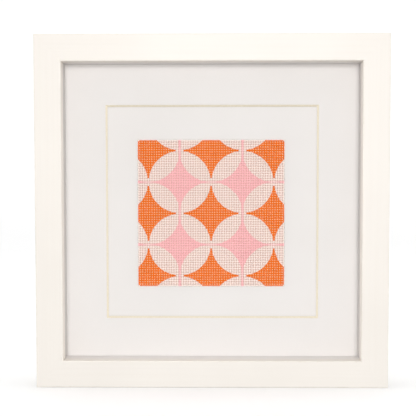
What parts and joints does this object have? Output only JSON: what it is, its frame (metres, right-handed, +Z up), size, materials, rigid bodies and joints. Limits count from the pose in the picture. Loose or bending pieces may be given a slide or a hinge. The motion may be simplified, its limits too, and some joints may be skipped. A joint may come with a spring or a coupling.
{
  "type": "needlepoint canvas panel in a box picture frame",
  "caption": "Square of open mesh needlepoint canvas painted with overlapping circles, on a board behind a bevelled mat in a white box frame.",
  "frame": {"origin": "on the surface that the bottom rail stands on, under the middle of the frame", "axes": "+X to the right of the picture, +Y from the front to the back, +Z up"},
  "size_m": [0.28, 0.034, 0.28],
  "materials": {
    "frame_paint": "wood under smooth warm white paint, satin",
    "spacer_card": "matt white card strip",
    "mat_board": "matt white paper face over a cream core",
    "mount_board": "matt warm white paper face",
    "painted_canvas": "matt painted open cotton mesh in orange, pink and cream",
    "hardboard": "plain brown hardboard, matt"
  },
  "bodies": {
    "root": {"rail_bottom": "frame_paint", "rail_left": "frame_paint", "rail_top": "frame_paint", "rail_right": "frame_paint", "spacer_bottom": "spacer_card", "spacer_top": "spacer_card", "spacer_left": "spacer_card", "spacer_right": "spacer_card", "mat_board": "mat_board", "mount_board": "mount_board", "needlepoint_canvas": "painted_canvas", "back_panel": "hardboard"}
  },
  "joints": []
}
